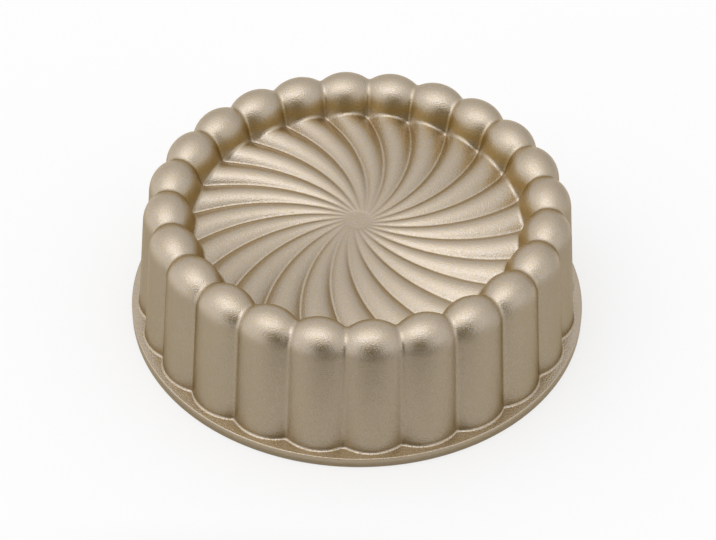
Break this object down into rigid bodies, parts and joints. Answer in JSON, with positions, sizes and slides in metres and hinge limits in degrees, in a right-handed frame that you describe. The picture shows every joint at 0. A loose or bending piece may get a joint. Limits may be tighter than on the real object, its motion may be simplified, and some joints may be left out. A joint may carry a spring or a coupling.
{
  "type": "fluted cake pan",
  "caption": "Round cast cake pan with a fluted, drafted wall, round flute crowns, a swirl of petals on its sunken base and a flat rim, stored upside down on that rim; bakes and shapes a cake.",
  "frame": {"origin": "centre of the rim's flat face, which the pan stands on when it is kept upside down", "axes": "+Z along the pan's axis, up out of the swirl; +X through a valley between two flutes"},
  "size_m": [0.232, 0.232, 0.0737],
  "materials": {
    "cast_aluminium": "bare cast metal, machined flat on the rim face",
    "champagne_coat": "champagne metallic enamel, fine satin sparkle",
    "nonstick_coat": "champagne non-stick film, smooth satin"
  },
  "bodies": {
    "root": {"pan_casting": "cast_aluminium", "outer_coating": "champagne_coat", "nonstick_lining": "nonstick_coat"}
  },
  "joints": []
}
